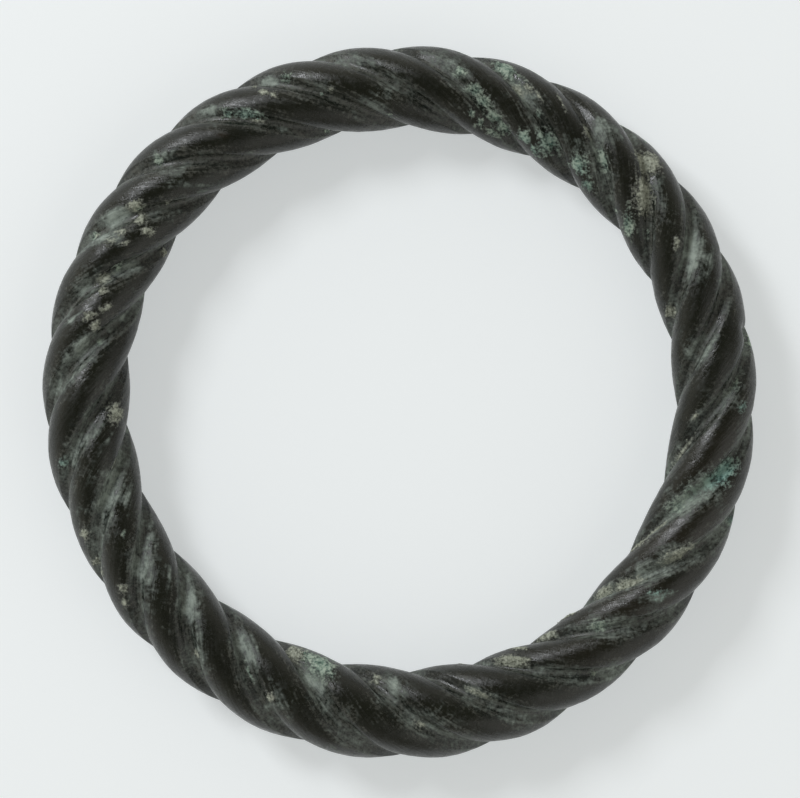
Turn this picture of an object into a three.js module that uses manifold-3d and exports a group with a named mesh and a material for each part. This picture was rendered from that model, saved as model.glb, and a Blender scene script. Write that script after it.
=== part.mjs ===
// An ancient bronze bracelet: one closed ring of solid bronze. The rod is worked into four rounded
// ridges with hollow grooves between them, and they wind round it like the strands of a rope. It lies
// flat, and each ridge is worn to a small flat where it meets the surface beneath.
// Lengths are in millimetres and angles in degrees. +Z is up. Seen from above, +X points to the right
// and angles round the ring run anticlockwise from there. The origin is in the middle, at the underside.

import * as THREE from 'three';
import { mergeVertices } from 'three/addons/utils/BufferGeometryUtils.js';
import { ParametricGeometry } from 'three/addons/geometries/ParametricGeometry.js';
import Module from 'manifold-3d';

// The ring, and how far it is bent out of round: the number of bulges and where one of them points
const ringRadius = 37.4; // from the middle of the ring to the middle of the rod
const outOfRound = [
  { count: 2, by: 0.15, towards: -26 },
  { count: 3, by: 0.18, towards: 36 },
];

// The rod's section: rounded ridges, and a hollow groove between each two
const rodRadius = 5.02; // from the middle of the rod to the crest of a ridge
const ridgeWidth = 7.9; // what a ridge with its groove takes of the way round the rod: about a quarter
const ridgeRounding = 3.06; // radius of a ridge's rounded back
const grooveDepth = 1.34; // from a ridge's crest down to the floor of a groove
const grooveRounding = 1.35; // radius of a groove's hollow

// Where the rod is thicker or thinner than it is elsewhere, and over what angle that dies away
const swellings = [
  { at: 262, by: 0.5, spread: 28 },
  { at: 185, by: 0.2, spread: 70 },
  { at: 304, by: -0.25, spread: 10 },
  { at: 203, by: -0.3, spread: 9 },
];

// The twist. The ridges meet up where the ring closes, so a whole number of them cross the outer edge
const crossingPitch = 9.04; // along the rod, from one crossing to the next
const twistStart = 39; // how far the section is turned at the right of the ring
const unevenTwist = [
  { count: 1, by: 18.5, towards: -172 },
  { count: 2, by: 4.1, towards: -74 },
  { count: 3, by: 4.9, towards: -46 },
  { count: 4, by: 4.2, towards: -35 },
  { count: 5, by: 2.2, towards: 24 },
];
// How much further the grooves are turned at the outer edge than at the rod's middle
const slant = [
  { count: 1, by: 6.8, towards: -115 },
  { count: 2, by: 3, towards: 18 },
  { count: 3, by: 4.5, towards: 14 },
];
// Where the ridges run on further round the ring on the upper side than they do at its edges
const drift = [{ at: -52, by: 9, spread: 38 }];

// Wear on the underside: how much of each ridge is gone where the bracelet rests
const footWear = 0.25;

// How finely the round forms are faceted: the size of a facet, across the ridges and along the rod
const facetWidth = 0.99;
const facetLength = 1.81;

const ridges = Math.round(2 * Math.PI * rodRadius / ridgeWidth);
const crossings = Math.round(2 * Math.PI * ringRadius / crossingPitch);
const facetsPerRidge = Math.round(ridgeWidth / facetWidth);
const facetsPerCrossing = Math.round(crossingPitch / facetLength);
const halfRidge = 180 / ridges;
const ridgeMiddle = rodRadius - ridgeRounding; // where the arcs of a ridge and of a groove are struck from
const grooveMiddle = rodRadius - grooveDepth + grooveRounding;

const radians = THREE.MathUtils.degToRad;
const degrees = THREE.MathUtils.radToDeg;

const sum = (rows, term) => rows.reduce((total, row) => total + term(row), 0);

// The sum of a few smooth waves round the ring
function waves(rows, around) {
  return sum(rows, ({ count, by, towards }) => by * Math.cos(radians(count * (around - towards))));
}

// The sum of a few rises, each of which dies away on both sides of its place
function rises(rows, around) {
  return sum(rows, ({ at, by, spread }) => {
    const away = THREE.MathUtils.euclideanModulo(around - at + 180, 360) - 180;
    return by * Math.exp(-((away / spread) ** 2));
  });
}

// The rod's thickness at an angle round the ring, as a share of its usual thickness
function thickness(around) {
  return 1 + rises(swellings, around) / rodRadius;
}

// The rod's radius on a ridge's back, at an angle from its crest
function ridgeReach(fromCrest) {
  const side = ridgeMiddle * Math.sin(radians(fromCrest));
  return ridgeMiddle * Math.cos(radians(fromCrest)) + Math.sqrt(ridgeRounding ** 2 - side ** 2);
}

// The rod's radius in a groove, at an angle from the groove's floor
function grooveReach(fromFloor) {
  const side = grooveMiddle * Math.sin(radians(fromFloor));
  return grooveMiddle * Math.cos(radians(fromFloor)) - Math.sqrt(grooveRounding ** 2 - side ** 2);
}

// The angle from the crest at which a ridge's back meets the groove, where their two circles cross
function findCrease() {
  const ridge = new THREE.Vector2(ridgeMiddle, 0);
  const groove = new THREE.Vector2(Math.cos(radians(halfRidge)), Math.sin(radians(halfRidge)));
  groove.multiplyScalar(grooveMiddle);
  const apart = ridge.distanceTo(groove);
  const along = (ridgeRounding ** 2 - grooveRounding ** 2 + apart ** 2) / (2 * apart);
  const aside = Math.sqrt(ridgeRounding ** 2 - along ** 2);
  const towards = groove.sub(ridge).normalize();
  const sideways = new THREE.Vector2(towards.y, -towards.x);
  const crossing = ridge.addScaledVector(towards, along).addScaledVector(sideways, aside);
  return degrees(crossing.angle());
}
const crease = findCrease();

// The section's angle and radius at a share of the way round it. Each ridge starts at a groove's floor,
// has one facet up to the crease, evenly spread facets over its back, and one facet down again.
function sectionPoint(share) {
  const along = share * ridges;
  const ridge = Math.floor(along);
  const facet = (along - ridge) * facetsPerRidge;
  const back = THREE.MathUtils.mapLinear(facet, 1, facetsPerRidge - 1, -crease, crease);
  const first = THREE.MathUtils.mapLinear(facet, 0, 1, -halfRidge, -crease);
  const last = THREE.MathUtils.mapLinear(facet, facetsPerRidge - 1, facetsPerRidge, crease, halfRidge);
  const isBack = facet >= 1 && facet <= facetsPerRidge - 1;
  const fromCrest = isBack ? back : (facet < 1 ? first : last);
  const reach = isBack ? ridgeReach(fromCrest) : grooveReach(halfRidge - Math.abs(fromCrest));
  return { angle: fromCrest + (ridge + 0.5) * 2 * halfRidge, reach };
}

// A point of the bracelet's surface: across is the share of the way round the rod and along is the
// share of the way round the ring. The rod's middle rises where the rod is thicker, so that every
// ridge comes down to the same level.
function surfacePoint(across, along, target) {
  const around = 360 * along;
  const { angle, reach } = sectionPoint(1 - across);
  const thick = thickness(around);
  const turned = angle - twistStart - 2 * halfRidge * crossings * along - waves(unevenTwist, around);
  const slanted = waves(slant, around) * Math.cos(radians(turned));
  const drifted = rises(drift, around) * Math.sin(radians(turned));
  const direction = radians(turned - slanted + drifted);
  const outwards = ringRadius + waves(outOfRound, around) + reach * thick * Math.cos(direction);
  const up = rodRadius * thick - footWear + reach * thick * Math.sin(direction);
  target.set(outwards * Math.cos(radians(around)), outwards * Math.sin(radians(around)), up);
}

// A closed three.js geometry as a solid that can be joined and cut
function toSolid(wasm, geometry) {
  const bare = geometry.clone();
  bare.deleteAttribute('normal');
  bare.deleteAttribute('uv');
  const merged = mergeVertices(bare);
  return new wasm.Manifold(new wasm.Mesh({
    numProp: 3,
    vertProperties: new Float32Array(merged.attributes.position.array),
    triVerts: new Uint32Array(merged.index.array),
  }));
}

function toGeometry(solid) {
  const { numProp, vertProperties, triVerts } = solid.getMesh();
  const geometry = new THREE.BufferGeometry();
  const corners = new THREE.InterleavedBuffer(vertProperties, numProp);
  geometry.setAttribute('position', new THREE.InterleavedBufferAttribute(corners, 3, 0));
  geometry.setIndex(new THREE.BufferAttribute(triVerts, 1));
  return geometry;
}

// The twisted ring, with everything below the resting surface worn away
function makeBracelet(wasm) {
  const ring = new ParametricGeometry(surfacePoint, ridges * facetsPerRidge, crossings * facetsPerCrossing);
  const reach = 4 * (ringRadius + rodRadius);
  const below = new THREE.BoxGeometry(reach, reach, rodRadius).translate(0, 0, -rodRadius / 2);
  const geometry = toGeometry(toSolid(wasm, ring).subtract(toSolid(wasm, below)));
  geometry.computeBoundingBox();
  const middle = geometry.boundingBox.getCenter(new THREE.Vector3());
  geometry.translate(-middle.x, -middle.y, 0);
  geometry.computeVertexNormals();
  return geometry;
}

const patinatedBronze = new THREE.MeshStandardMaterial({
  color: '#35322c',
  roughness: 0.42,
  metalness: 0.85,
});

const wasm = await Module();
wasm.setup();

const bracelet = new THREE.Mesh(makeBracelet(wasm), patinatedBronze);
bracelet.name = 'bracelet';

const object = new THREE.Group();
object.add(bracelet);
export default object;
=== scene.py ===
"""An ancient bracelet of dark patinated bronze, lying on a pale floor and seen from straight above.

The rod of the ring is worked into rounded ridges that wind round it, with hollow grooves between them.
Handling has kept the ridges smooth and dark, and corrosion has filled the grooves with grey-green film,
with bloom that is pale green or turquoise, and with cream grains. Lengths are in millimetres and angles
in degrees, turned to metres and radians where a mesh is made. Angles round the ring run anticlockwise
from +X, seen from above.
"""

import math

import bpy
import numpy as np
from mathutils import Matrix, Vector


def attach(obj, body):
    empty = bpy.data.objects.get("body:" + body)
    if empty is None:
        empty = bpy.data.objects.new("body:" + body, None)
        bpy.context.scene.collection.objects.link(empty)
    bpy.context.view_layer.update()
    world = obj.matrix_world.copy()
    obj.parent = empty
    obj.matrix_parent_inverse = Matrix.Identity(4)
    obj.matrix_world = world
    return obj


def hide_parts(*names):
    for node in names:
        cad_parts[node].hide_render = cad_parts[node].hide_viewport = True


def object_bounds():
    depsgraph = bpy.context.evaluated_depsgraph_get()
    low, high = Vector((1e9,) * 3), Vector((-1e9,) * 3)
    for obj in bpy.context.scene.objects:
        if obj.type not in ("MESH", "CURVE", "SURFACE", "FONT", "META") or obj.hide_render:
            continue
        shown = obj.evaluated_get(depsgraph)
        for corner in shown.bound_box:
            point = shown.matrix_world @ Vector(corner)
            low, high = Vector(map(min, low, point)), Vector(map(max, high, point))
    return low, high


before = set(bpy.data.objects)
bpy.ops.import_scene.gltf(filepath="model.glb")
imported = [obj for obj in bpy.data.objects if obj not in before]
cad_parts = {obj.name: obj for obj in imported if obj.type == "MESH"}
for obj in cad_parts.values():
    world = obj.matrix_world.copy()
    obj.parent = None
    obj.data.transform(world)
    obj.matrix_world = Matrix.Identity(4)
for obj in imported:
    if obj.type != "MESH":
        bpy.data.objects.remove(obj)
cad_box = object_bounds()

MM = 0.001

# The ring, and how far it is bent out of round: bulges, how far each reaches, and where one points
RING_RADIUS = 37.4
OUT_OF_ROUND = ((2, 0.15, -26), (3, 0.18, 36))

# The rod's section: rounded ridges, and a hollow groove between each two
ROD_RADIUS = 5.02
RIDGES = 4
RIDGE_ROUNDING = 3.06
GROOVE_DEPTH = 1.34
GROOVE_ROUNDING = 1.35
HALF_RIDGE = 180 / RIDGES

# Where the rod is thicker or thinner: the place, the change in radius, and how far it spreads
SWELLINGS = ((262, 0.5, 28), (185, 0.2, 70), (304, -0.25, 10), (203, -0.3, 9))

# The twist: how often grooves cross the outer edge, where it starts, and how unevenly it runs
CROSSINGS = 26
TWIST_START = 39
UNEVEN_TWIST = ((1, 18.5, -172), (2, 4.1, -74), (3, 4.9, -46), (4, 4.2, -35), (5, 2.2, 24))
# How much further the grooves are turned at the outer edge than at the rod's middle
SLANT = ((1, 6.8, -115), (2, 3, 18), (3, 4.5, 14))
# Where the ridges run on further round the ring on the upper side than they do at its edges
DRIFT = ((-52, 9, 38),)
# How much of each ridge is worn away where the bracelet rests
FOOT_WEAR = 0.25

# The fine mesh: stations round the ring, and facets across each ridge and across each half groove
STATIONS = 988
RIDGE_FACETS = 24
GROOVE_FACETS = 3

# The photograph's frame, and where the middle of the ring's outline lies in it
FRAME_WIDTH_PX = 800
FRAME_HEIGHT_PX = 798
RING_MIDDLE_PX = (399.3, 401.8)
MM_PER_PX = 0.1192
CAMERA_HEIGHT = 620
SENSOR_WIDTH = 36
NEAREST_SEEN = 10


def linear(hex_colour):
    """An sRGB hex colour as linear red, green, blue and alpha."""
    parts = [int(hex_colour[k:k + 2], 16) / 255 for k in (1, 3, 5)]
    return tuple(p / 12.92 if p <= 0.04045 else ((p + 0.055) / 1.055) ** 2.4 for p in parts) + (1.0,)


# Kinds of node. A map range takes a value, the two ends it comes from and the two ends it goes to.
MATH = "ShaderNodeMath"
VECTOR_MATH = "ShaderNodeVectorMath"
INTEGER_MATH = "FunctionNodeIntegerMath"
MAP_RANGE = "ShaderNodeMapRange"
COMBINE = "ShaderNodeCombineXYZ"
SEPARATE = "ShaderNodeSeparateXYZ"
NOISE = "ShaderNodeTexNoise"
MIX = "ShaderNodeMix"
COORDINATES = "ShaderNodeTexCoord"
ATTRIBUTE = "ShaderNodeAttribute"
PRINCIPLED = "ShaderNodeBsdfPrincipled"
OUTPUT = "ShaderNodeOutputMaterial"
RANDOM = "FunctionNodeRandomValue"
NAMED = "GeometryNodeInputNamedAttribute"
STORE = "GeometryNodeStoreNamedAttribute"
SAMPLE = "GeometryNodeSampleIndex"
SET_POSITION = "GeometryNodeSetPosition"


def add(tree, kind, inputs=(), **settings):
    """Adds a node with its settings. Its inputs, in order or by name, are values or what they link to."""
    node = tree.nodes.new(kind)
    for name, value in settings.items():
        setattr(node, name, value)
    shown = [s for s in node.inputs if s.enabled]
    for key, value in (inputs.items() if isinstance(inputs, dict) else enumerate(inputs)):
        socket = next(s for s in shown if s.name == key) if isinstance(key, str) else shown[key]
        if isinstance(value, bpy.types.Node):
            value = next(s for s in value.outputs if s.enabled)
        if isinstance(value, bpy.types.NodeSocket):
            tree.links.new(value, socket)
        else:
            socket.default_value = value
    return node


def new_tree(name, inputs):
    """A geometry tree with the named inputs, each given as (name, kind, value), and its input sockets."""
    tree = bpy.data.node_groups.new(name, "GeometryNodeTree")
    tree.interface.new_socket("Geometry", in_out="INPUT", socket_type="NodeSocketGeometry")
    for label, kind, value in inputs:
        socket = tree.interface.new_socket(label, in_out="INPUT", socket_type="NodeSocket" + kind)
        if value is not None:
            socket.default_value = value
    tree.interface.new_socket("Geometry", in_out="OUTPUT", socket_type="NodeSocketGeometry")
    return tree, tree.nodes.new("NodeGroupInput").outputs


def end_tree(tree, geometry, material):
    """Ends a geometry tree: every instance is made real, and all of it gets the material."""
    real = add(tree, "GeometryNodeRealizeInstances", (geometry,))
    finished = add(tree, "GeometryNodeSetMaterial", {"Geometry": real, "Material": material})
    add(tree, "NodeGroupOutput", (finished,))


def grown(obj, tree, name, **values):
    """The plain mesh object that the tree makes from obj, with inputs set by their sockets' identifiers."""
    modifier = obj.modifiers.new(tree.name, "NODES")
    modifier.node_group = tree
    for item in tree.interface.items_tree:
        if item.in_out == "INPUT" and item.name in values:
            modifier[item.identifier] = values[item.name]
    evaluated = obj.evaluated_get(bpy.context.evaluated_depsgraph_get())
    mesh = bpy.data.meshes.new_from_object(evaluated)
    obj.modifiers.remove(modifier)
    mesh.name = name
    return placed(name, mesh)


def placed(name, data):
    """A new object in the scene, at the origin, that shows the mesh, light or camera given."""
    obj = bpy.data.objects.new(name, data)
    bpy.context.scene.collection.objects.link(obj)
    return obj


# The form of the ring

def waves(rows, around):
    """The sum of a few smooth waves round the ring."""
    return sum(by * np.cos(np.radians(count * (around - towards))) for count, by, towards in rows)


def rises(rows, around):
    """The sum of a few rises, each of which dies away on both sides of its place."""
    return sum(by * np.exp(-(((around - at + 180) % 360 - 180) / spread) ** 2) for at, by, spread in rows)


def thickness(around):
    """The rod's thickness as a share of its usual thickness."""
    return 1 + rises(SWELLINGS, around) / ROD_RADIUS


def turn(around):
    """How far the section has turned by an angle round the ring."""
    return TWIST_START + 2 * HALF_RIDGE * CROSSINGS * around / 360 + waves(UNEVEN_TWIST, around)


def crease_angle():
    """The angle from the crest at which a ridge's back meets the groove, where their two circles cross."""
    back = np.array((ROD_RADIUS - RIDGE_ROUNDING, 0))
    middle = ROD_RADIUS - GROOVE_DEPTH + GROOVE_ROUNDING
    hollow = middle * np.array((math.cos(math.radians(HALF_RIDGE)), math.sin(math.radians(HALF_RIDGE))))
    apart = np.linalg.norm(hollow - back)
    along = (RIDGE_ROUNDING ** 2 - GROOVE_ROUNDING ** 2 + apart ** 2) / (2 * apart)
    aside = math.sqrt(RIDGE_ROUNDING ** 2 - along ** 2)
    forwards = (hollow - back) / apart
    x, y = back + along * forwards + aside * np.array((forwards[1], -forwards[0]))
    return math.degrees(math.atan2(y, x))


def rod_middle_line():
    """The line through the rod's middle, with how the section is sized and turned at each of its points."""
    around = np.linspace(0, 360, STATIONS + 1)
    thick = thickness(around)
    reach = (RING_RADIUS + waves(OUT_OF_ROUND, around)) * MM
    height = (ROD_RADIUS * thick - FOOT_WEAR) * MM
    points = np.stack((reach * np.cos(np.radians(around)), reach * np.sin(np.radians(around)), height), 1)
    mesh = bpy.data.meshes.new("rod_middle_line")
    mesh.from_pydata(points.tolist(), [(k, k + 1) for k in range(STATIONS)], [])
    measures = {
        "thickness": thick,
        "turn": np.radians(turn(around)),
        "slant": np.radians(waves(SLANT, around)),
        "drift": np.radians(rises(DRIFT, around)),
    }
    for name, values in measures.items():
        mesh.attributes.new(name, "FLOAT", "POINT").data.foreach_set("value", values)
    return placed("rod_middle_line", mesh)


def arc_reach(tree, middle, rounding, off, side):
    """The rod's reach to an arc, at an angle off the line to the point that the arc is struck from.

    ADD gives the arc's far side, and SUBTRACT its near side.
    """
    level = add(tree, MATH, (middle, add(tree, MATH, (off,), operation="COSINE")), operation="MULTIPLY")
    aside = add(tree, MATH, (middle, add(tree, MATH, (off,), operation="SINE")), operation="MULTIPLY")
    square = add(tree, MATH, (rounding, 2), operation="POWER")
    rest = add(tree, MATH, (square, add(tree, MATH, (aside, 2), operation="POWER")), operation="SUBTRACT")
    root = add(tree, MATH, (add(tree, MATH, (rest, 0), operation="MAXIMUM"),), operation="SQRT")
    return add(tree, MATH, (level, root), operation=side)


def ridge_section(tree, value, half_ridge, facet):
    """A ridge's section at a facet: the angle from the crest, that angle unsigned, and the reach."""
    # The angle grows up the half groove, over the ridge's back and down again
    in_groove = add(tree, MATH, (half_ridge, value["Crease angle"]), operation="SUBTRACT")
    over_back = add(tree, MATH, (value["Crease angle"], 2), operation="MULTIPLY")
    last = add(tree, MATH, (value["Facets per ridge"], value["Facets per half groove"]),
               operation="SUBTRACT")
    rise = add(tree, MAP_RANGE, (facet, 0, value["Facets per half groove"], 0, in_groove))
    back = add(tree, MAP_RANGE, (facet, value["Facets per half groove"], last, 0, over_back))
    fall = add(tree, MAP_RANGE, (facet, last, value["Facets per ridge"], 0, in_groove))
    climbed = add(tree, MATH, (rise, back), operation="ADD")
    passed = add(tree, MATH, (climbed, fall), operation="ADD")
    from_crest = add(tree, MATH, (passed, half_ridge), operation="SUBTRACT")
    off_crest = add(tree, MATH, (from_crest,), operation="ABSOLUTE")

    # The back is an arc about a point inside the rod, and the groove is one about a point outside it
    back_middle = add(tree, MATH, (value["Rod radius"], value["Ridge rounding"]), operation="SUBTRACT")
    back_reach = arc_reach(tree, back_middle, value["Ridge rounding"], off_crest, "ADD")
    floor = add(tree, MATH, (value["Rod radius"], value["Groove depth"]), operation="SUBTRACT")
    hollow_middle = add(tree, MATH, (floor, value["Groove rounding"]), operation="ADD")
    off_floor = add(tree, MATH, (half_ridge, off_crest), operation="SUBTRACT")
    hollow_reach = arc_reach(tree, hollow_middle, value["Groove rounding"], off_floor, "SUBTRACT")
    is_back = add(tree, "FunctionNodeCompare", (off_crest, value["Crease angle"]), operation="LESS_EQUAL")
    reach = add(tree, "GeometryNodeSwitch", (is_back, hollow_reach, back_reach), input_type="FLOAT")
    return from_crest, off_crest, reach


def place_on_ring(tree, middle, line, section, reach):
    """Where a point of the section ends up, from its angle, its reach and the middle line's measures."""
    turned = add(tree, MATH, (section, line["turn"]), operation="SUBTRACT")
    lean = add(tree, MATH, (line["slant"], add(tree, MATH, (turned,), operation="COSINE")),
               operation="MULTIPLY")
    slanted = add(tree, MATH, (turned, lean), operation="SUBTRACT")
    direction = add(tree, MATH, (line["drift"], add(tree, MATH, (turned,), operation="SINE"), slanted),
                    operation="MULTIPLY_ADD")
    full_reach = add(tree, MATH, (reach, line["thickness"]), operation="MULTIPLY")
    outwards = add(tree, MATH, (full_reach, add(tree, MATH, (direction,), operation="COSINE")),
                   operation="MULTIPLY")
    upwards = add(tree, MATH, (full_reach, add(tree, MATH, (direction,), operation="SINE")),
                  operation="MULTIPLY")
    level = add(tree, VECTOR_MATH, (middle, (1, 1, 0)), operation="MULTIPLY")
    out_way = add(tree, VECTOR_MATH, (level,), operation="NORMALIZE")
    out_step = add(tree, VECTOR_MATH, {"Vector": out_way, "Scale": outwards}, operation="SCALE")
    up_step = add(tree, COMBINE, {"Z": upwards})
    step = add(tree, VECTOR_MATH, (out_step, up_step), operation="ADD")
    place = add(tree, VECTOR_MATH, (middle, step), operation="ADD")

    # What would reach below the floor is worn flat there. Sideways, a metre away is no limit.
    return add(tree, VECTOR_MATH, (place, (-1, -1, 0)), operation="MAXIMUM")


def twisted_rod_tree():
    """Sweeps the ridged section along the rod's middle line, turning it on the way, and closes the ring."""
    tree, value = new_tree("twisted rod", (
        ("Rod radius", "Float", ROD_RADIUS * MM),
        ("Ridge rounding", "Float", RIDGE_ROUNDING * MM),
        ("Groove depth", "Float", GROOVE_DEPTH * MM),
        ("Groove rounding", "Float", GROOVE_ROUNDING * MM),
        ("Crease angle", "Float", math.radians(crease_angle())),
        ("Ridges", "Int", RIDGES),
        ("Facets per ridge", "Int", RIDGE_FACETS),
        ("Facets per half groove", "Int", GROOVE_FACETS),
        ("Merge distance", "Float", 0.005 * MM),
        ("Material", "Material", None),
    ))

    # A grid with a row of points for each station and a column for each point of the section
    columns = add(tree, INTEGER_MATH, (value["Ridges"], value["Facets per ridge"], 1),
                  operation="MULTIPLY_ADD")
    stations = add(tree, "GeometryNodeAttributeDomainSize", (value["Geometry"],), component="MESH")
    grid = add(tree, "GeometryNodeMeshGrid", {"Vertices X": stations, "Vertices Y": columns})
    index = add(tree, "GeometryNodeInputIndex")
    station = add(tree, INTEGER_MATH, (index, columns), operation="DIVIDE_FLOOR")
    column = add(tree, INTEGER_MATH, (index, columns), operation="MODULO")
    ridge = add(tree, INTEGER_MATH, (column, value["Facets per ridge"]), operation="DIVIDE_FLOOR")
    facet = add(tree, INTEGER_MATH, (column, value["Facets per ridge"]), operation="MODULO")

    # The section there, with the angle counted from the first groove's floor
    half_ridge = add(tree, MATH, (math.pi, value["Ridges"]), operation="DIVIDE")
    from_crest, off_crest, reach = ridge_section(tree, value, half_ridge, facet)
    ridge_width = add(tree, MATH, (half_ridge, 2), operation="MULTIPLY")
    crest = add(tree, MATH, (add(tree, MATH, (ridge, 0.5), operation="ADD"), ridge_width),
                operation="MULTIPLY")
    section = add(tree, MATH, (crest, from_crest), operation="ADD")

    # What the middle line says at this station
    line = {}
    for name in ("thickness", "turn", "slant", "drift"):
        attribute = add(tree, NAMED, (name,), data_type="FLOAT")
        line[name] = add(tree, SAMPLE, (value["Geometry"], attribute, station), data_type="FLOAT")
    position = add(tree, "GeometryNodeInputPosition")
    middle = add(tree, SAMPLE, (value["Geometry"], position, station), data_type="FLOAT_VECTOR")
    place = place_on_ring(tree, middle, line, section, reach)
    moved = add(tree, SET_POSITION, {"Geometry": grid, "Position": place})

    # The section's angle, doubled. The twist has a whole number of half turns, so the doubled angle closes
    # up where the ring does.
    twice = add(tree, MATH, (section, 2), operation="MULTIPLY")
    strand_x = add(tree, MATH, (twice,), operation="COSINE")
    strand_y = add(tree, MATH, (twice,), operation="SINE")
    strand = add(tree, COMBINE, (strand_x, strand_y, 0))
    marked = add(tree, STORE, {"Geometry": moved, "Name": "strand", "Value": strand},
                 data_type="FLOAT_VECTOR")
    hollow = add(tree, MATH, (off_crest, half_ridge), operation="DIVIDE")
    marked = add(tree, STORE, {"Geometry": marked, "Name": "hollow", "Value": hollow}, data_type="FLOAT")

    closed = add(tree, "GeometryNodeMergeByDistance",
                 {"Geometry": marked, "Distance": value["Merge distance"]})
    smooth = add(tree, "GeometryNodeSetShadeSmooth", {"Geometry": closed, "Shade Smooth": True})
    end_tree(tree, smooth, value["Material"])
    return tree


# Corrosion and wear. Each patch has where its middle lies in the photograph, in pixels across and down,
# its length along the ridges and its width in millimetres, and how thickly it covers.

# Grey-green film, beyond what lies in every groove
FILM = (
    (452, 70, 5, 2.4, 0.8), (522, 97, 6, 3, 0.9), (429, 60, 4, 1.5, 0.7), (412, 97, 3, 2, 0.7),
    (600, 130, 5, 3, 0.7), (575, 150, 4, 3, 0.8), (655, 187, 5, 2, 0.8), (691, 259, 8, 1.6, 0.95),
    (704, 277, 5, 2, 0.7), (719, 282, 5, 1, 0.9), (647, 245, 5, 1.5, 0.8), (704, 490, 11, 2.8, 1.1),
    (708, 350, 6, 1.2, 0.85), (726, 395, 7, 1.6, 0.8), (697, 425, 7, 1.4, 0.8), (665, 562, 8, 2.2, 0.95),
    (649, 578, 7, 1.6, 1.05), (600, 628, 7, 1.8, 0.9), (660, 600, 5, 1.8, 0.8), (560, 634, 5, 1.4, 0.9),
    (475, 694, 5, 1.2, 1.0), (428, 730, 5, 1.4, 0.95), (548, 672, 6, 1.6, 0.7), (395, 690, 4, 1.6, 0.7),
    (314, 668, 4.5, 2.4, 0.9), (316, 690, 6, 1.8, 0.95), (321, 706, 5, 2, 0.8), (246, 657, 7, 2, 1.0),
    (270, 690, 4, 1.4, 0.8), (196, 640, 7, 2, 0.95), (190, 616, 5, 2, 1.0), (240, 640, 4, 1.2, 0.9),
    (141, 572, 10, 3.2, 1.0), (150, 540, 2.4, 1.4, 0.9), (103, 503, 8, 3, 1.15), (126, 498, 3, 0.8, 0.8),
    (90, 414, 4, 1.6, 0.9), (75, 453, 5, 1.6, 1.0), (66, 474, 3, 1, 0.9), (189, 602, 3, 1.4, 1.0),
    (168, 580, 3, 0.7, 0.9), (72, 355, 7, 1.5, 1.0), (98, 430, 4, 0.9, 0.8), (120, 219, 5, 1.6, 1.1),
    (130, 267, 3.4, 1.4, 0.9), (80, 296, 4.4, 0.9, 0.95), (71, 320, 4, 0.5, 0.9),
    (209, 115, 3.6, 1.3, 0.9), (270, 82, 4.6, 1.2, 0.9), (359, 63, 4, 1.5, 0.6), (370, 109, 4, 2, 0.5),
    (278, 132, 2.4, 0.4, 0.8), (121, 319, 1.8, 1.2, 0.9), (112, 240, 2.4, 2.2, 1.0),
    (116, 272, 5.4, 1.6, 1.1), (100, 240, 5, 1.6, 1.0), (83, 358, 3, 1.4, 0.9), (96, 345, 3, 1, 0.8),
    (160, 160, 4, 1.6, 0.9), (200, 190, 5, 2, 0.6), (107, 440, 3, 0.8, 0.8), (643, 254, 3, 0.6, 0.9),
    (617, 138, 4, 1.2, 0.7),
)
# Pale green bloom
BLOOM = (
    (504, 70, 4.4, 1.3, 1.0), (459, 73, 1.3, 1.0, 0.95), (473, 93, 1.9, 1.5, 1.0), (483, 105, 2, 1.5, 1.0),
    (494, 119, 2.4, 1.7, 1.0), (504, 131, 2.6, 2, 0.95), (470, 116, 1.0, 0.9, 0.9),
    (479, 126, 1.3, 1.1, 0.75), (491, 135, 1.6, 1.1, 0.8), (522, 141, 1.7, 1.5, 1.0),
    (534, 154, 2.3, 1.1, 0.9), (548, 144, 3.4, 1.9, 1.0), (537, 118, 1.5, 0.8, 0.85),
    (579, 166, 2.7, 2.0, 1.0), (586, 189, 1.7, 1.4, 1.0), (602, 163, 3.2, 1.2, 1.0),
    (643, 145, 1.1, 0.7, 0.9), (626, 228, 3.6, 1.3, 1.0), (614, 212, 1, 0.6, 0.9),
    (647, 236, 1.5, 0.5, 0.8), (94, 238, 1.9, 0.8, 0.95), (116, 271, 1.5, 0.9, 0.9),
    (227, 118, 1.5, 0.9, 1.0), (246, 119, 4, 1, 0.9), (284, 82, 1.7, 1, 0.8), (319, 97, 0.6, 0.6, 0.9),
    (326, 133, 1.1, 0.7, 0.85), (389, 119, 1.2, 0.8, 0.7), (134, 209, 1.4, 0.8, 0.8),
    (156, 163, 1.2, 0.8, 0.9), (749, 345, 2.2, 0.9, 0.9), (720, 475, 4.4, 2.2, 1.05),
    (708, 485, 3, 2.2, 0.9), (692, 497, 3, 2.2, 0.75), (676, 510, 3, 2, 0.7), (741, 410, 1.8, 1, 0.65),
    (728, 522, 1.8, 0.8, 0.9), (657, 597, 3.2, 1.8, 0.42), (598, 629, 2.6, 1.2, 0.75),
    (591, 676, 0.9, 0.7, 1.0), (320, 667, 3.4, 2.4, 1.2), (307, 660, 2.6, 1.6, 0.9),
    (329, 678, 1.5, 0.8, 0.8), (248, 675, 2.5, 0.4, 0.9), (121, 536, 0.7, 0.6, 0.8),
    (96, 345, 1.2, 0.7, 0.7), (736, 388, 2.6, 0.8, 0.7), (62, 466, 1.4, 0.9, 0.8),
)
# Where the bloom is turquoise rather than pale green
TURQUOISE = (
    (717, 477, 6, 2.8, 1.0), (657, 597, 3.4, 2.2, 1.0), (729, 520, 2, 1.2, 0.6), (62, 466, 1.8, 1.2, 0.7),
    (741, 408, 3, 1.4, 0.8), (246, 119, 4, 1.4, 0.5), (579, 180, 4, 3, 0.4), (534, 150, 4, 3, 0.4),
)
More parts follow.
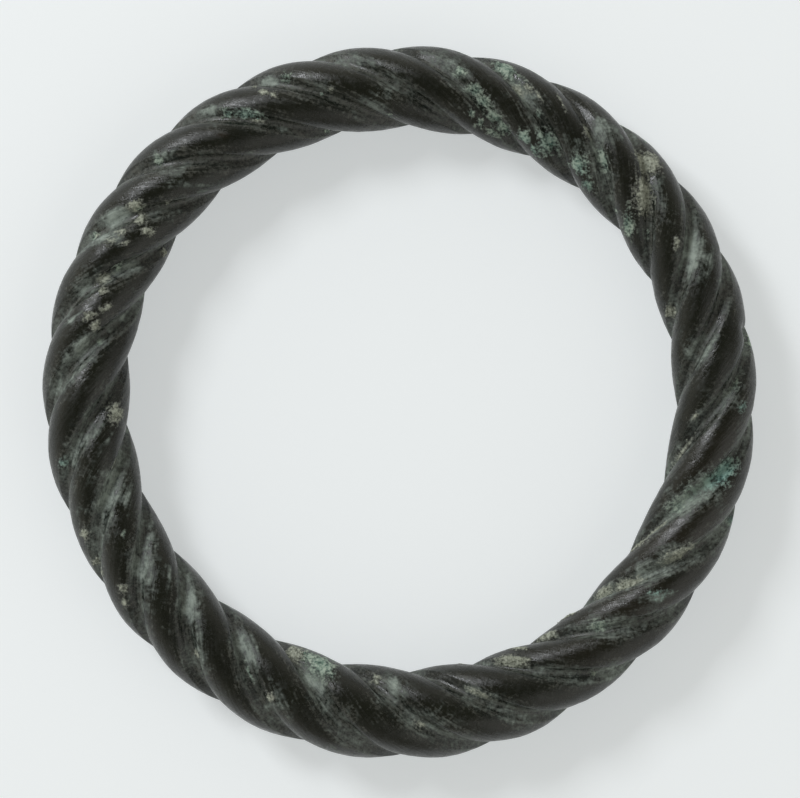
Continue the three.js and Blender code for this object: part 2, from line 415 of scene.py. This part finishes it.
# Cream and grey grains
CHALK = (
    (516, 94, 1.6, 1.0, 1.0), (527, 91, 1.7, 0.5, 0.85), (585, 134, 1.7, 1.0, 1.0),
    (641, 168, 3.2, 2.8, 1.1), (642, 197, 4.2, 2.0, 1.15), (653, 161, 0.7, 0.5, 0.9),
    (668, 315, 1.6, 0.9, 1.0), (132, 208, 1.9, 0.9, 1.0), (108, 245, 1.5, 1.0, 0.6),
    (117, 236, 1.5, 1.1, 0.5), (123, 246, 1.0, 0.5, 0.75), (139, 222, 1.3, 1.2, 1.0),
    (146, 235, 1.6, 1.0, 0.9), (164, 205, 0.8, 0.6, 0.9), (102, 283, 2.4, 1.2, 0.95),
    (161, 254, 0.9, 0.6, 0.9), (101, 294, 0.9, 0.7, 1.0), (103, 310, 1.5, 0.8, 0.9),
    (87, 319, 1.4, 1.0, 0.8), (93, 328, 1.3, 0.9, 0.9), (263, 94, 1.0, 0.7, 1.0),
    (273, 97, 1.0, 0.7, 0.95), (252, 90, 0.6, 0.6, 0.9), (329, 92, 0.6, 0.5, 0.9),
    (115, 416, 2.0, 1.8, 0.95), (113, 460, 2.6, 0.4, 0.95), (82, 536, 1.4, 1.1, 1.0),
    (95, 563, 1.2, 0.9, 0.8), (99, 575, 1.1, 0.7, 0.9), (121, 591, 1.3, 0.9, 0.85),
    (123, 606, 1.1, 0.8, 0.8), (268, 701, 1, 0.9, 1.0), (294, 657, 2.4, 1.6, 1.05),
    (196, 657, 1.2, 0.8, 0.85), (376, 683, 1.1, 0.7, 0.95), (418, 726, 1.4, 0.8, 0.9),
    (460, 667, 1, 0.4, 0.9), (509, 665, 3.8, 0.8, 1.3), (516, 652, 2.6, 0.5, 1.1),
    (545, 638, 3.4, 0.5, 1.2), (565, 620, 3.0, 0.45, 1.15), (603, 595, 2.4, 0.8, 1.2),
    (628, 587, 3.2, 1.0, 1.8), (652, 537, 4.4, 0.7, 1.4), (637, 548, 3.2, 0.7, 1.3),
    (675, 557, 4.4, 1.5, 0.85), (681, 454, 4.4, 0.4, 1.1), (478, 697, 3.2, 0.6, 0.85),
    (546, 637, 2, 0.4, 0.8), (694, 418, 1, 0.4, 0.8), (256, 124, 1.6, 0.5, 0.9), (561, 105, 2.6, 0.3, 0.8),
    (536, 96, 3, 0.3, 0.7), (592, 676, 0.7, 0.5, 0.8), (96, 238, 0.8, 0.4, 0.9), (675, 245, 1.2, 0.6, 0.8),
)
# Where handling has worn the bronze browner, and where the lit ridges show a warm sheen: partly real wear
# and partly painted sheen
WORN_AND_SHEEN = (
    (680, 540, 14, 5, 0.5), (640, 610, 14, 5, 0.5), (580, 655, 12, 4, 0.3), (219, 138, 1.2, 0.5, 1.0),
    (600, 100, 10, 4, 0.3), (720, 450, 10, 4, 0.4), (300, 60, 10, 3, 0.3), (700, 470, 8, 3, 0.4),
)
# Chips, one on the outer edge and one on the inner
CHIPS = (
    (746, 335, 1.2, 2.2, 1.0), (668, 312, 1.2, 1.0, 0.5),
)

# The film in every groove: how far from a ridge's crest it starts, as a share of the way to the groove's
# floor, over what further share it thickens, how thick it gets, and where it is thicker or thinner
FILM_START = 0.3
FILM_RISE = 0.4
FILM_IN_GROOVES = 0.54
FILM_LEVEL = ((112, -0.3, 36), (250, -0.1, 20), (20, -0.08, 30), (335, 0.1, 30))

# A distance in pixels that no point of the ring can be away, to pass over those that the camera can't see
OUT_OF_SIGHT_PX = 1000


class Surface:
    """The ring's points, with their places round the ring, over the rod and in the photograph."""

    def __init__(self, mesh):
        points = np.empty(len(mesh.vertices) * 3, np.float32)
        mesh.vertices.foreach_get("co", points)
        x, y, z = points.reshape(-1, 3).T / MM
        self.around = np.degrees(np.arctan2(y, x)) % 360
        middle_height = ROD_RADIUS * thickness(self.around) - FOOT_WEAR
        out = np.hypot(x, y) - RING_RADIUS - waves(OUT_OF_ROUND, self.around)
        self.over = np.degrees(np.arctan2(z - middle_height, out))
        enlarged = (CAMERA_HEIGHT - ROD_RADIUS) / (CAMERA_HEIGHT - z) / MM_PER_PX
        self.across_px = RING_MIDDLE_PX[0] + x * enlarged
        self.down_px = RING_MIDDLE_PX[1] - y * enlarged
        self.hidden = z < middle_height
        self.hollow = np.empty(len(z), np.float32)
        mesh.attributes["hollow"].data.foreach_get("value", self.hollow)

    def seen_at(self, across_px, down_px):
        """The place round the ring and over the rod that a pixel of the photograph shows."""
        away = np.hypot(self.across_px - across_px, self.down_px - down_px)
        nearest = np.argmin(away + OUT_OF_SIGHT_PX * self.hidden)
        return self.around[nearest], self.over[nearest]

    def patch(self, around, over, length, width):
        """A soft oval patch along the ridges: 1 in its middle, and half that at the ends of its length."""
        ring_way = RING_RADIUS + ROD_RADIUS * math.cos(math.radians(over))
        rod_way = ROD_RADIUS * CROSSINGS / RIDGES
        slope = math.hypot(ring_way, rod_way)
        a = ring_way * np.radians((self.around - around + 180) % 360 - 180)
        b = ROD_RADIUS * np.radians((self.over - over + 180) % 360 - 180)
        along = (a * ring_way - b * rod_way) / slope
        across = (a * rod_way + b * ring_way) / slope
        return np.exp(-math.log(2) * ((2 * along / length) ** 2 + (2 * across / width) ** 2))

    def patches(self, rows):
        """How strongly each point is covered by the patches."""
        covered = np.zeros(len(self.around))
        for across_px, down_px, length, width, strength in rows:
            around, over = self.seen_at(across_px, down_px)
            covered = np.maximum(covered, strength * self.patch(around, over, length, width))
        return covered


def paint_ring(mesh):
    """Writes what lies on each point of the surface as attributes for the trees and the material."""
    surface = Surface(mesh)
    in_groove = np.clip((surface.hollow - FILM_START) / FILM_RISE, 0, 1)
    thick = FILM_IN_GROOVES + rises(FILM_LEVEL, surface.around)
    layers = {
        "film": np.maximum(surface.patches(FILM), thick * in_groove),
        "bloom": surface.patches(BLOOM),
        "turquoise": surface.patches(TURQUOISE),
        "chalk": surface.patches(CHALK),
        # Worn bronze, with painted warm sheen where the lit ridges shine
        "worn_and_sheen": surface.patches(WORN_AND_SHEEN),
        "chip": surface.patches(CHIPS),
    }
    for name, values in layers.items():
        layer = mesh.attributes.new(name, "FLOAT", "POINT")
        layer.data.foreach_set("value", values.astype(np.float32))


def weathering_tree():
    """Hammered unevenness, raised crusts and chips, moved along the surface's normals."""
    tree, value = new_tree("weathering", (
        ("Dents", "Float", 0.2 * MM),
        ("Dent size", "Float", 8 * MM),
        ("Ripples", "Float", 0.08 * MM),
        ("Ripple size", "Float", 2.2 * MM),
        ("Crust height", "Float", 0.28 * MM),
        ("Crust grain", "Float", 0.7 * MM),
        ("Bloom height as a share", "Float", 0.4),
        ("Chip depth", "Float", 0.5 * MM),
        ("Material", "Material", None),
    ))
    layer = {name: add(tree, NAMED, (name,), data_type="FLOAT") for name in ("bloom", "chalk", "chip")}
    offset = add(tree, MATH, (layer["chip"], value["Chip depth"]), operation="MULTIPLY")
    offset = add(tree, MATH, (offset, -1), operation="MULTIPLY")
    for size, amount in (("Dent size", "Dents"), ("Ripple size", "Ripples")):
        scale = add(tree, MATH, (1, value[size]), operation="DIVIDE")
        noise = add(tree, NOISE, {"Scale": scale, "Detail": 2})
        level = add(tree, MATH, (noise, 0.5), operation="SUBTRACT")
        offset = add(tree, MATH, (level, value[amount], offset), operation="MULTIPLY_ADD")
    grain_scale = add(tree, MATH, (1, value["Crust grain"]), operation="DIVIDE")
    grain = add(tree, NOISE, {"Scale": grain_scale, "Detail": 3})
    crust = add(tree, MATH, (layer["bloom"], value["Bloom height as a share"], layer["chalk"]),
                operation="MULTIPLY_ADD")
    rough = add(tree, MATH, (crust, grain), operation="MULTIPLY")
    offset = add(tree, MATH, (rough, value["Crust height"], offset), operation="MULTIPLY_ADD")
    normal = add(tree, "GeometryNodeInputNormal")
    move = add(tree, VECTOR_MATH, {"Vector": normal, "Scale": offset}, operation="SCALE")
    moved = add(tree, SET_POSITION, {"Geometry": value["Geometry"], "Offset": move})
    end_tree(tree, moved, value["Material"])
    return tree


def crumbs_tree():
    """Small mineral crumbs, thickest where the crusts are, each turned and sized at random."""
    tree, value = new_tree("mineral crumbs", (
        ("Crumbs per square metre", "Float", 6e6),
        ("Bloom as a share of crust", "Float", 0.5),
        ("Crust with the first crumbs", "Float", 0.4),
        ("Crust with all of them", "Float", 1.0),
        ("Smallest", "Float", 0.05 * MM),
        ("Largest", "Float", 0.14 * MM),
        ("Seed of the places", "Int", 7),
        ("Seed of the turns", "Int", 11),
        ("Seed of the sizes", "Int", 12),
        ("Material", "Material", None),
    ))
    bloom = add(tree, NAMED, ("bloom",), data_type="FLOAT")
    chalk = add(tree, NAMED, ("chalk",), data_type="FLOAT")
    crust = add(tree, MATH, (bloom, value["Bloom as a share of crust"], chalk), operation="MULTIPLY_ADD")
    share = add(tree, MAP_RANGE, (crust, value["Crust with the first crumbs"],
                                  value["Crust with all of them"], 0, 1))
    density = add(tree, MATH, (share, value["Crumbs per square metre"]), operation="MULTIPLY")
    points = add(tree, "GeometryNodeDistributePointsOnFaces",
                 {"Mesh": value["Geometry"], "Density": density, "Seed": value["Seed of the places"]})
    crumb = add(tree, "GeometryNodeMeshIcoSphere", {"Radius": 1, "Subdivisions": 1})
    way = add(tree, RANDOM, {"Min": (0, 0, 0), "Max": (math.tau,) * 3,
                             "Seed": value["Seed of the turns"]}, data_type="FLOAT_VECTOR")
    size = add(tree, RANDOM, {"Min": value["Smallest"], "Max": value["Largest"],
                              "Seed": value["Seed of the sizes"]}, data_type="FLOAT")
    crumbs = add(tree, "GeometryNodeInstanceOnPoints",
                 {"Points": points, "Instance": crumb, "Rotation": way, "Scale": size})
    end_tree(tree, crumbs, value["Material"])
    return tree


def seat(objects, box):
    """Centres the finished meshes in the solid part's box, and eases them in where they stand past it."""
    points = []
    for obj in objects:
        flat = np.empty(len(obj.data.vertices) * 3, np.float32)
        obj.data.vertices.foreach_get("co", flat)
        points.append(flat.reshape(-1, 3))
    every = np.concatenate(points)
    low, high = every.min(0), every.max(0)
    box_low, box_high = np.array(box[0]), np.array(box[1])
    share = np.minimum((box_high - box_low) / (high - low), 1)
    for obj, place in zip(objects, points):
        fitted = (place - (low + high) / 2) * share + (box_low + box_high) / 2
        fitted[:, 2] = (place[:, 2] - low[2]) * share[2] + box_low[2]
        obj.data.vertices.foreach_set("co", fitted.astype(np.float32).ravel())
        obj.data.update()


# Materials

# The sizes of the three noises: clouding, patches and grain. Real corrosion grains are a tenth of a
# millimetre or less, finer than a pixel of the photograph, so they are drawn coarser.
CLOUD_SIZE = 5
PATCH_SIZE = 1.1
GRAIN_SIZE = 0.4
# The streaks that the working and the polishing left along the ridges
STREAK_LENGTH = 3.1167
STREAK_WIDTH = 0.502

# Colours. A pair goes from dark to light.
OLIVE_BLACK = ("#0d0f08", "#23251a")
GREENISH_BLACK = "#1a201b"
# Brown of handled bronze, also used as painted warm sheen on the lit ridges
HANDLED_BROWN_AND_SHEEN = "#2d281f"
GREY_DUST = "#6f7068"
GREY_GREEN_FILM = ("#37413c", "#b3beb4")
PALE_GREEN_BLOOM = ("#5f8173", "#b6c4b3")
TURQUOISE_BLOOM = ("#4a7d76", "#9fc4b9")
CREAM_CHALK = ("#666a5b", "#c6cab9")

# The share of what lies under it that a mineral hides at most, and the cover over which a patch's edge
# lets it grow
MOST_HIDDEN = 0.9
PATCH_EDGE = (0.04, 0.25)

# Roughness: the clean skin where it is smoothest and roughest, and the mineral on it
SATIN = (0.12, 0.44)
DULL = 0.85

# How far the grain and the streaks that are too fine for the mesh stand out
FINE_RELIEF = 0.09


def new_material(name):
    """An empty material and its node tree."""
    material = bpy.data.materials.new(name)
    material.use_nodes = True
    material.node_tree.nodes.clear()
    return material, material.node_tree


def ragged(tree, amount, noises):
    """The amount with each noise, taken about its middle, added in the measure given."""
    for noise, by in noises:
        off_middle = add(tree, MATH, (noise, 0.5), operation="SUBTRACT")
        amount = add(tree, MATH, (off_middle, by, amount), operation="MULTIPLY_ADD")
    return amount


def patches_and_grain(tree, place):
    """The two finer noises, which the bronze and the crumbs on it share."""
    patchy = add(tree, NOISE, {"Vector": place, "Scale": 1 / (PATCH_SIZE * MM), "Detail": 6,
                               "Roughness": 0.65})
    grain = add(tree, NOISE, {"Vector": place, "Scale": 1 / (GRAIN_SIZE * MM), "Detail": 4,
                              "Roughness": 0.7})
    return patchy, grain


def streaks_along_ridges(tree, place):
    """Noise drawn out along the ridges, which closes up where the ring does."""
    level = add(tree, VECTOR_MATH, (place, (1, 1, 0)), operation="MULTIPLY")
    ring_way = add(tree, VECTOR_MATH, (level,), operation="NORMALIZE")
    ring_way = add(tree, VECTOR_MATH, {"Vector": ring_way, "Scale": RING_RADIUS / STREAK_LENGTH},
                   operation="SCALE")
    strand = add(tree, ATTRIBUTE, attribute_name="strand").outputs["Vector"]
    strand = add(tree, VECTOR_MATH, {"Vector": strand, "Scale": ROD_RADIUS / (2 * STREAK_WIDTH)},
                 operation="SCALE")
    strand = add(tree, SEPARATE, (strand,)).outputs
    where = add(tree, VECTOR_MATH, (ring_way, add(tree, COMBINE, {"Z": strand["X"]})), operation="ADD")
    return add(tree, NOISE, {"Vector": where, "W": strand["Y"], "Scale": 1, "Detail": 7,
                             "Roughness": 0.68}, noise_dimensions="4D")


def mineral_tones(tree, grain, patchy, turquoise):
    """The mottled colours of bloom, pale green or turquoise, and of cream chalk."""
    tone = {}
    whiter = add(tree, MAP_RANGE, (ragged(tree, patchy, ((grain, 1.4),)), 0.3, 0.68, 0, 1))
    paler = add(tree, MAP_RANGE, (grain, 0.35, 0.65, 0, 1))
    for name, light, (dark_hex, light_hex) in (("bloom", whiter, PALE_GREEN_BLOOM),
                                               ("turquoise", whiter, TURQUOISE_BLOOM),
                                               ("chalk", paler, CREAM_CHALK)):
        tone[name] = add(tree, MIX, {"Factor": light, "A": linear(dark_hex), "B": linear(light_hex)},
                         data_type="RGBA")
    bloom = add(tree, MIX, {"Factor": turquoise, "A": tone["bloom"], "B": tone["turquoise"]},
                data_type="RGBA")
    return bloom, tone["chalk"]


def growth(tree, layer, noises, start, full):
    """How far a mineral covers the metal: ragged inside its patches, and nothing well outside them."""
    cover = add(tree, MAP_RANGE, (ragged(tree, layer, noises), start, full, 0, MOST_HIDDEN))
    inside = add(tree, MAP_RANGE, (layer, *PATCH_EDGE, 0, 1))
    return add(tree, MATH, (cover, inside), operation="MULTIPLY")


def patinated_bronze():
    """Cast and chased bronze, dark from long burial.

    The eye sees nearly black ridges with a satin sheen, and dull, pale, mottled mineral in the grooves.
    The surface is a mineral skin rather than bare metal, so it isn't metallic.
    """
    material, tree = new_material("patinated_bronze")
    place = add(tree, COORDINATES).outputs["Object"]
    layer = {name: add(tree, ATTRIBUTE, attribute_name=name).outputs["Fac"]
             for name in ("hollow", "film", "bloom", "chalk", "turquoise", "worn_and_sheen")}
    cloudy = add(tree, NOISE, {"Vector": place, "Scale": 1 / (CLOUD_SIZE * MM), "Detail": 4,
                               "Roughness": 0.6})
    patchy, grain = patches_and_grain(tree, place)
    streaks = streaks_along_ridges(tree, place)

    # The dark skin: olive black, greener towards the grooves, and browner where it was handled most and
    # where the lit ridges show a warm sheen, which is partly painted sheen
    dark = add(tree, MIX, {"Factor": cloudy, "A": linear(OLIVE_BLACK[0]), "B": linear(OLIVE_BLACK[1])},
               data_type="RGBA")
    low = add(tree, MAP_RANGE, (ragged(tree, layer["hollow"], ((patchy, 0.9),)), 0.35, 0.9, 0, 1))
    greener = add(tree, MIX, {"Factor": low, "A": dark, "B": linear(GREENISH_BLACK)}, data_type="RGBA")
    # Browner skin: partly real wear, partly painted sheen on the lit ridges
    brown_and_sheen = add(tree, MIX, {"Factor": layer["worn_and_sheen"], "A": greener, "B": linear(HANDLED_BROWN_AND_SHEEN)},
                data_type="RGBA")

    # A thin veil of grey dust in the grain, and a mottled film that is palest where it is thickest
    dust = ragged(tree, layer["hollow"], ((grain, 2.6), (streaks, 2.6), (cloudy, 1.4)))
    dusty = add(tree, MAP_RANGE, (dust, 0.45, 1.25, 0, 0.65))
    dusted = add(tree, MIX, {"Factor": dusty, "A": brown_and_sheen, "B": linear(GREY_DUST)}, data_type="RGBA")
    film = ragged(tree, layer["film"], ((streaks, 1.5), (patchy, 1.6), (grain, 1.0), (cloudy, 2.0)))
    film_cover = add(tree, MAP_RANGE, (film, 0.3, 1.05, 0, MOST_HIDDEN))
    thick = add(tree, MAP_RANGE, (film, 0.4, 1.5, 0, 1))
    film_tone = add(tree, MIX, {"Factor": thick, "A": linear(GREY_GREEN_FILM[0]),
                                "B": linear(GREY_GREEN_FILM[1])}, data_type="RGBA")
    filmed = add(tree, MIX, {"Factor": film_cover, "A": dusted, "B": film_tone}, data_type="RGBA")

    # Bloom and chalk over all of that
    bloom = growth(tree, layer["bloom"], ((patchy, 1.8), (grain, 2.4), (streaks, 1.2)),
                   start=0.35, full=0.9)
    chalk = growth(tree, layer["chalk"], ((patchy, 1.2), (grain, 1.8), (streaks, 1.4)),
                   start=0.25, full=0.8)
    bloom_tone, chalk_tone = mineral_tones(tree, grain, patchy, layer["turquoise"])
    bloomed = add(tree, MIX, {"Factor": bloom, "A": filmed, "B": bloom_tone}, data_type="RGBA")
    colour = add(tree, MIX, {"Factor": chalk, "A": bloomed, "B": chalk_tone}, data_type="RGBA")

    # Satin where the skin is clean, with its own unevenness, and dull where mineral lies on it
    crusted = add(tree, MATH, (bloom, chalk), operation="MAXIMUM")
    dulled = add(tree, MATH, (film_cover, crusted), operation="MAXIMUM")
    sheen = ragged(tree, patchy, ((grain, 1.2), (streaks, 1.4)))
    satin = add(tree, MAP_RANGE, (sheen, 0.25, 0.75, *SATIN))
    rough = add(tree, MIX, {"Factor": dulled, "A": satin, "B": DULL}, data_type="FLOAT")
    height = add(tree, MATH, (grain, 0.4, crusted), operation="MULTIPLY_ADD")
    height = add(tree, MATH, (streaks, 0.7, height), operation="MULTIPLY_ADD")
    bump = add(tree, "ShaderNodeBump", {"Strength": 1.0, "Distance": FINE_RELIEF * MM, "Height": height})
    shader = add(tree, PRINCIPLED, {"Base Color": colour, "Roughness": rough, "Metallic": 0.0,
                                    "Normal": bump})
    add(tree, OUTPUT, {"Surface": shader})
    return material


def mineral_crust():
    """Loose mineral crumbs, grown on the bronze in the ground. The eye sees them dull, pale and chalky."""
    material, tree = new_material("mineral_crust")
    place = add(tree, COORDINATES).outputs["Object"]
    patchy, grain = patches_and_grain(tree, place)
    layer = {name: add(tree, ATTRIBUTE, attribute_name=name).outputs["Fac"]
             for name in ("chalk", "bloom", "turquoise")}
    more = add(tree, MATH, (layer["chalk"], layer["bloom"]), operation="SUBTRACT")
    chalky = add(tree, MAP_RANGE, (more, -0.2, 0.1, 0, 1))
    bloom_tone, chalk_tone = mineral_tones(tree, grain, patchy, layer["turquoise"])
    colour = add(tree, MIX, {"Factor": chalky, "A": bloom_tone, "B": chalk_tone}, data_type="RGBA")
    shader = add(tree, PRINCIPLED, {"Base Color": colour, "Roughness": 0.9})
    add(tree, OUTPUT, {"Surface": shader})
    return material


# Floor, light and camera. Their places and sizes are in metres.

FLOOR_HALF = 3.0
FLOOR_COLOUR = "#d8dada"
FLOOR_GLOW = "#e8edef"
FLOOR_GLOW_STRENGTH = 0.52

# Each softbox: its place, its width, its power in watts and its colour
SOFTBOXES = {
    "softbox_upper_left": ((-0.5, 0.45, 0.55), 0.24, 3.4, "#f5f8fc"),
    "fill_lower_right": ((0.6, -0.45, 0.5), 1.0, 1.9, "#f8f8f4"),
}

# The pale room: its colour, how bright it is at the horizon and overhead, the way to its brightest side,
# and how bright it is on the far side and on that side
ROOM_COLOUR = "#f4f2e9"
ROOM_LEVELS = (1.05, 0.16)
ROOM_BRIGHT_SIDE = (-0.7, 0.6, 0)
ROOM_SIDES = (0.35, 1.0)


def studio_floor():
    """Wide matt paper that glows a little, as on a light table. The eye sees an even pale grey."""
    half = FLOOR_HALF
    mesh = bpy.data.meshes.new("floor")
    mesh.from_pydata([(-half, -half, 0), (half, -half, 0), (half, half, 0), (-half, half, 0)], [],
                     [(0, 1, 2, 3)])
    floor = placed("floor", mesh)
    material, tree = new_material("matt_paper")
    shader = add(tree, PRINCIPLED, {"Base Color": linear(FLOOR_COLOUR), "Roughness": 0.95,
                                    "Emission Color": linear(FLOOR_GLOW),
                                    "Emission Strength": FLOOR_GLOW_STRENGTH})
    add(tree, OUTPUT, {"Surface": shader})
    mesh.materials.append(material)


def studio_light():
    """A softbox at the upper left, a weak wide one opposite, and a pale room that is darker overhead."""
    for name, (place, width, power, colour) in SOFTBOXES.items():
        data = bpy.data.lights.new(name, "AREA")
        data.size = width
        data.energy = power
        data.color = linear(colour)[:3]
        light = placed(name, data)
        light.location = place
        light.rotation_mode = "QUATERNION"
        light.rotation_quaternion = light.location.to_track_quat("Z", "Y")
        light.visible_camera = False

    world = bpy.data.worlds.new("studio")
    world.use_nodes = True
    tree = world.node_tree
    background = tree.nodes["Background"].inputs
    direction = add(tree, COORDINATES).outputs["Generated"]
    height = add(tree, SEPARATE, (direction,)).outputs["Z"]
    glow = add(tree, MAP_RANGE, (height, 0.0, 0.9, *ROOM_LEVELS))
    towards = add(tree, VECTOR_MATH, (direction, ROOM_BRIGHT_SIDE), operation="DOT_PRODUCT")
    side = add(tree, MAP_RANGE, (towards.outputs["Value"], -0.9, 0.9, *ROOM_SIDES))
    strength = add(tree, MATH, (glow, side), operation="MULTIPLY")
    tree.links.new(strength.outputs[0], background["Strength"])
    background["Color"].default_value = linear(ROOM_COLOUR)
    bpy.context.scene.world = world


def photo_camera():
    """A camera straight above, with the photograph's frame at the height of the rod's middle."""
    data = bpy.data.cameras.new("camera")
    camera = placed("camera", data)
    right = (FRAME_WIDTH_PX / 2 - RING_MIDDLE_PX[0]) * MM_PER_PX
    up = (RING_MIDDLE_PX[1] - FRAME_HEIGHT_PX / 2) * MM_PER_PX
    camera.location = (right * MM, up * MM, CAMERA_HEIGHT * MM)
    data.sensor_width = SENSOR_WIDTH
    data.lens = SENSOR_WIDTH * (CAMERA_HEIGHT - ROD_RADIUS) / (FRAME_WIDTH_PX * MM_PER_PX)
    data.clip_start = NEAREST_SEEN * MM
    bpy.context.scene.camera = camera


bronze = patinated_bronze()
line = rod_middle_line()
smooth_ring = grown(line, twisted_rod_tree(), "smooth_ring", Material=bronze)
paint_ring(smooth_ring.data)
bracelet = grown(smooth_ring, weathering_tree(), "bronze_ring", Material=bronze)
crumbs = grown(bracelet, crumbs_tree(), "mineral_crumbs", Material=mineral_crust())
bpy.data.objects.remove(line)
bpy.data.objects.remove(smooth_ring)
seat((bracelet, crumbs), cad_box)
for piece in (bracelet, crumbs):
    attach(piece, "root")
    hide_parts("bracelet")

studio_floor()
studio_light()
photo_camera()
bpy.context.scene.view_settings.view_transform = "Standard"
